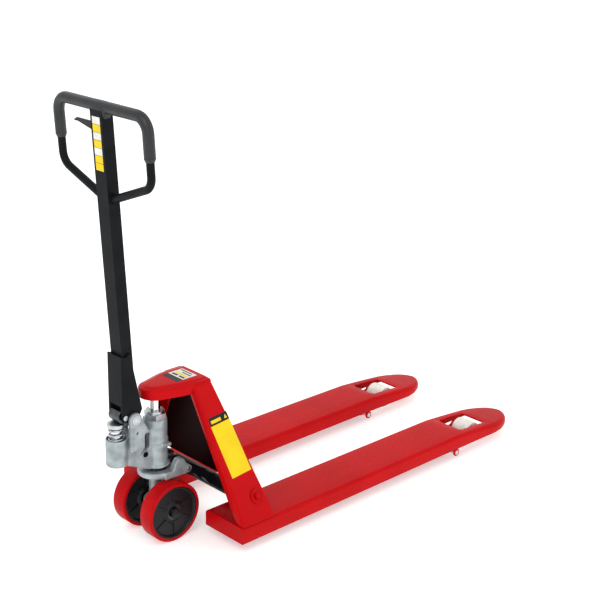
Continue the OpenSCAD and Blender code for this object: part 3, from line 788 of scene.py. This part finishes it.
line = loopLine()
tube("handleTube", line, handleLook["tube"], "black_paint", "handle", ("handle_loop", "loop_arms"))
postInverse = postFrame.inverted()
gripLine = [p for p in line if (postInverse @ p).z > (handleLook["lowUp"] + 30) * mm]
gripEnds = [onPost(0, y * handleLook["half"], handleLook["gripLow"]) for y in (1, -1)]
gripLine = [gripEnds[0]] + gripLine + [gripEnds[1]]
tube("handleGrip", gripLine, handleLook["grip"], "grip_rubber", "handle", ("handle_grip",))
for y, word in ((-1, "right"), (1, "left")):
    # tapered collar that ends the grip
    axis = (onPost(0, 0, 1) - onPost(0, 0, 0)).normalized()
    spot = onPost(0, y * handleLook["half"], handleLook["gripLow"])
    collar = ringForm(handleLook["collarProfile"], axis, spot, 40)
    addPiece("gripCollar_" + word, collar, "grip_rubber", "handle")
    # weld bead where the arm meets the post
    armEnd = [p for p in (line[0], line[-1]) if p.y * y > 0][0]
    spot = Vector((armEnd.x, y * 25.5 * mm, armEnd.z))
    bead = ringForm(handleLook["weldProfile"], (0, 1, 0), spot, 40)
    addPiece("armWeld_" + word, bead, "black_paint", "handle", smoothDeg=60)

softened("handle_post", 2.2, edgeSteps=3)
softened("handle_bracket", 1.6, edgeSteps=3)


def saddleForm():
    # moulded saddle that carries the bar on top of the post, squarish in section
    rows = []
    for up, halfX, halfY in handleLook["saddle"]:
        row = []
        for i in range(24):
            turn = 2 * math.pi * i / 24
            cx, cy = math.cos(turn), math.sin(turn)
            x, y = math.copysign(abs(cx) ** 0.45, cx), math.copysign(abs(cy) ** 0.45, cy)
            row.append(onPost(halfX * x, halfY * y, up))
        rows.append(row)
    return rowsForm(rows, closed=True, caps=True)


addPiece("barSaddle", saddleForm(), "grip_rubber", "handle", smoothDeg=55)


def onPostBack(y, up, out):
    return onPost(-18.05 - out, y, up)


for i, slot in enumerate(filmLook["post"]):
    low = filmLook["postLow"] + i * filmLook["postStep"]
    high = filmLook["postLow"] + (i + 1) * filmLook["postStep"] - filmLook["postGap"]
    wide = filmLook["postHalf"]
    form = filmForm([(-wide, low), (wide, low), (wide, high), (-wide, high)], 0, 0.5, onPostBack)
    addPiece(f"postFilm{i}", form, slot, "handle", ("handle_label",) if i == 0 else ())
softened("control_lever", 1.8, edgeSteps=3)
softened("press_roller", 1.2)
for node in ("press_roller_pin", "control_lever_pin", "handle_pivot_pin", "release_lever",
             "release_lever_pin", "release_rod"):
    softened(node, 0.7)
for y, word in ((-1, "right"), (1, "left")):
    # head of the press roller's pin on the bracket's cheek, and the pivot pin's washer
    spot = Vector((pivotX - 0.028, y * 0.0312, pivotZ + 0.010))
    pinHead = discForm(7.5, 0, 2.6, (0, y, 0), spot, 28, 0.8)
    addPiece("bracketScrews_" + word, merge([pinHead]), "zinc_steel", "handle")
    spot = Vector((pivotX, y * 0.0442, pivotZ))
    washer = ringForm([(9.2, 0), (14, 0), (14, 1.8), (9.2, 1.8)], (0, y, 0), spot, 40)
    addPiece("pivotWasher_" + word, washer, "zinc_steel", "steering_unit", edgeMm=0.4)
print("handle ready")

# pump and base castings

castLook = {"voxelMm": 1.9, "smoothing": 9, "spread": 0.6}


def castPiece(node, name, extras=(), voxelMm=None):
    # the node's shape melted together, so that inner corners fill as a sand casting's do
    form = bmesh.new()
    form.from_mesh(cadNodes[node].data)
    bmesh.ops.remove_doubles(form, verts=form.verts, dist=0.003 * mm)
    piece = addPiece(name, merge([form] + list(extras)), nodeSlot[node], bodyOf(node), (node,), 180)
    melt = piece.modifiers.new("melt", "REMESH")
    melt.mode = "VOXEL"
    melt.voxel_size = (voxelMm or castLook["voxelMm"]) * mm
    melt.use_smooth_shade = True
    even = piece.modifiers.new("even", "SMOOTH")
    even.factor = castLook["spread"]
    even.iterations = castLook["smoothing"]
    settle(piece)
    piece.data.shade_smooth()
    return piece


pumpLook = {
    # raised rims: distance from the axis, then outwards from the face; and a ledge on the cylinder
    "pivotRim": [(9.3, 10), (15, 10), (15, 12.6), (9.3, 12.6)],
    "valveRim": [(8.2, 10), (12, 10), (12, 13), (8.2, 13)],
    "ledge": (Vector((-0.004, 0.02, 0.276)), Vector((0.03, 0.0385, 0.286))),
    # oblong pocket behind each ear: x from the handle's pivot, and heights; then the pocket's depth, and the depth
    # of a black sheet at its floor that paints the pocket's shade
    "pocketX": (27, 46), "pocketZ": (292, 346), "pocketDepth": (24.5, 60), "shadeSheetDepth": (21.5, 25.3),
}
pumpExtras = []
for y in (-1, 1):
    spot = Vector((pivotX, y * 0.032, pivotZ))
    pumpExtras.append(ringForm(pumpLook["pivotRim"], (0, y, 0), spot, 48))
    spot = Vector((pivotX + 0.04, y * 0.018, 0.272))
    pumpExtras.append(ringForm(pumpLook["valveRim"], (0, y, 0), spot, 40))
for y in (-1, 1):
    low, high = pumpLook["ledge"]
    sides = sorted((y * low.y, y * high.y))
    lowCorner = Vector((steerX + low.x, sides[0], low.z))
    pumpExtras.append(boxForm(lowCorner, Vector((steerX + high.x, sides[1], high.z))))
pump = castPiece("pump_housing", "pumpCasting", pumpExtras)


def pocketBlock(depth, growMm):
    (x0, x1), (z0, z1) = pumpLook["pocketX"], pumpLook["pocketZ"]
    low = Vector((pivotX + (x0 - growMm) * mm, depth[0] * mm, (z0 - growMm) * mm))
    high = Vector((pivotX + (x1 + growMm) * mm, depth[1] * mm, (z1 + growMm) * mm))
    return boxForm(low, high)


for y, word in ((-1, "right"), (1, "left")):
    pocket = pocketBlock(pumpLook["pocketDepth"], 0)
    across = [edge for edge in pocket.edges if abs(edge.verts[0].co.y - edge.verts[1].co.y) > 0.01]
    bmesh.ops.bevel(pocket, geom=across, offset=8 * mm, affect="EDGES", segments=5, profile=0.5, material=-1)
    bmesh.ops.scale(pocket, vec=(1, y, 1), verts=pocket.verts)
    carve(pump, pocket)
    # a black sheet at the pocket's floor: painted shade, standing for the shadow in the pocket
    shadeSheet = pocketBlock(pumpLook["shadeSheetDepth"], 1)
    bmesh.ops.scale(shadeSheet, vec=(1, y, 1), verts=shadeSheet.verts)
    addPiece("pocketShadeSheet_" + word, shadeSheet, "black_core", "steering_unit", edgeMm=0.6)
pump.data.shade_smooth()
pump.data.set_sharp_from_angle(angle=math.radians(40))
yokeExtras = [discForm(53, 187, 205, (0, 0, 1), Vector((steerX, 0, 0)), 64, 3)]
castPiece("base_yoke", "yokeCasting", yokeExtras, voxelMm=1.5)
castPiece("axle_stem", "stemCasting", voxelMm=1.6)


springLook = {"turns": 5.5, "stepsPerTurn": 28, "radius": 21, "wire": 2.6, "flatTurns": 0.6}


def coilPoints():
    # the return spring as one coil of round wire, squared at both ends
    low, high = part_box("plunger_spring")
    turns, radius, wire = springLook["turns"], springLook["radius"] * mm, springLook["wire"] * mm
    flat = springLook["flatTurns"]
    points = []
    for i in range(int(turns * springLook["stepsPerTurn"]) + 1):
        turn = i / springLook["stepsPerTurn"]
        share = max(0.0, min(1.0, (turn - flat) / (turns - 2 * flat)))
        angle = 2 * math.pi * turn
        z = low.z + wire + share * (high.z - low.z - 2 * wire)
        points.append(Vector((cupX + radius * math.cos(angle), radius * math.sin(angle), z)))
    return points


tube("returnSpring", coilPoints(), springLook["wire"], "zinc_steel", bodyOf("plunger_spring"),
     ("plunger_spring",), around=16)
softened("plunger_cap", 2.4, edgeSteps=3)
softened("ram_gland_nut", 1.6, edgeSteps=3)
softened("valve_cap", 0.8)
for node in ("yoke_pins", "wheel_axle", "axle_circlips", "bearing_lower_race", "bearing_upper_race",
             "link_pivot_pins"):
    softened(node, 0.6)
print("castings ready")

# steering wheels

wheelLook = {
    "fromMiddle": 63, "outer": 90, "core": 80, "half": 25, "hub": 29, "bearing": 23.5, "ribs": 6,
    # sealed bearing: outer ring, dished shield, inner ring
    "seal": [(10.1, 11.2), (14, 11.2), (14.6, 13.8), (20.2, 13.8), (20.6, 12), (23.4, 12), (23.4, 21.6),
             (20.8, 21.6), (20.2, 20.4), (14.6, 20.4), (13.8, 22.2), (10.1, 22.2)],
    # dust cap over the axle's end, heights from the middle of the jack
    "cap": [(0.5, 87.2), (16, 87.2), (16, 92), (15, 94), (11, 95.2), (0.5, 95.2)],
}


def wheelPieces(y, word):
    centre = Vector((steerX, y * mm, wheelRadius))
    half, outer, core = wheelLook["half"], wheelLook["outer"], wheelLook["core"]
    hub, bearing = wheelLook["hub"], wheelLook["bearing"]
    tread = [(core, -half + 1), (core + 3, -half + 0.4), (outer - 4, -half), (outer - 2, -half + 0.5),
             (outer - 0.6, -half + 1.8), (outer, -half + 3.6)]
    tread += [(r, -h) for r, h in reversed(tread)]
    addPiece("wheelTread_" + word, ringForm(tread, (0, 1, 0), centre, 96), "red_urethane", "wheel_" + word,
             ("wheel_tread_" + word,), 40)
    rim = [(core - 0.1, -half + 1.4), (core - 0.1, half - 1.4), (core - 3, half - 0.6), (core - 5, half - 0.8),
           (core - 7, half - 3), (core - 9, 17), (hub + 6, 16.5), (hub + 1, half - 4), (hub - 1.5, half - 1.4),
           (bearing + 0.1, half - 1.6), (bearing + 0.1, 12), (14.2, 11)]
    rim += [(r, -h) for r, h in reversed(rim[2:])]
    coreForms = [ringForm(rim, (0, 1, 0), centre, 96)]
    for i in range(wheelLook["ribs"]):
        # ribs on both faces, tapered towards the rim
        rib = boxForm(Vector((26, -20.5, -1.8)) * mm, Vector((73, 20.5, 1.8)) * mm)
        outerVerts = [v for v in rib.verts if v.co.x > 0.05]
        bmesh.ops.scale(rib, vec=(1, 0.92, 0.75), verts=outerVerts)
        turned = Matrix.Translation(centre) @ Matrix.Rotation(math.radians(60 * i + 30), 4, "Y")
        bmesh.ops.transform(rib, matrix=turned, verts=rib.verts)
        coreForms.append(rib)
    addPiece("wheelCore_" + word, merge(coreForms), "black_core", "wheel_" + word, ("wheel_core_" + word,),
             edgeMm=0.7)
    rings = []
    for face in (-1, 1):
        seal = [(r, h * face) for r, h in wheelLook["seal"]]
        rings.append(ringForm(seal, (0, 1, 0), centre, 56))
    addPiece("wheelBearings_" + word, merge(rings), "bearing_steel", "wheel_" + word,
             ("wheel_bearings_" + word,), 30)


for y, word in ((-1, "right"), (1, "left")):
    wheelPieces(y * wheelLook["fromMiddle"], word)
for y, word in ((-1, "right"), (1, "left")):
    cap = ringForm(wheelLook["cap"], (0, y, 0), Vector((steerX, 0, wheelRadius)), 40)
    addPiece("axleCap_" + word, cap, "black_core", "steering_unit")
print("steering wheels ready")

# lifting linkage and load rollers

rollerLook = {
    # half of a load roller's section: distance from its axis, then along it
    "profile": [(10.1, -31), (23, -31), (25, -29.6), (32, -29.6), (33.5, -31), (35.6, -30.4), (36.7, -28.6),
                (37, -26)],
}
softened("rocker", 1.6, edgeSteps=3)
for word in ("left", "right"):
    softened("pushrod_" + word, 1.0)
    softened("wheel_link_" + word, 1.0)
    softened("link_lug_pins_" + word, 0.8)
    softened("roller_axle_" + word, 0.8)
    low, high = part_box("load_roller_" + word)
    centre = (low + high) / 2
    roller = rollerLook["profile"] + [(r, -h) for r, h in reversed(rollerLook["profile"])]
    addPiece("loadRoller_" + word, ringForm(roller, (0, 1, 0), centre, 72), "nylon", "load_roller_" + word,
             ("load_roller_" + word,))
print("linkage and rollers ready")
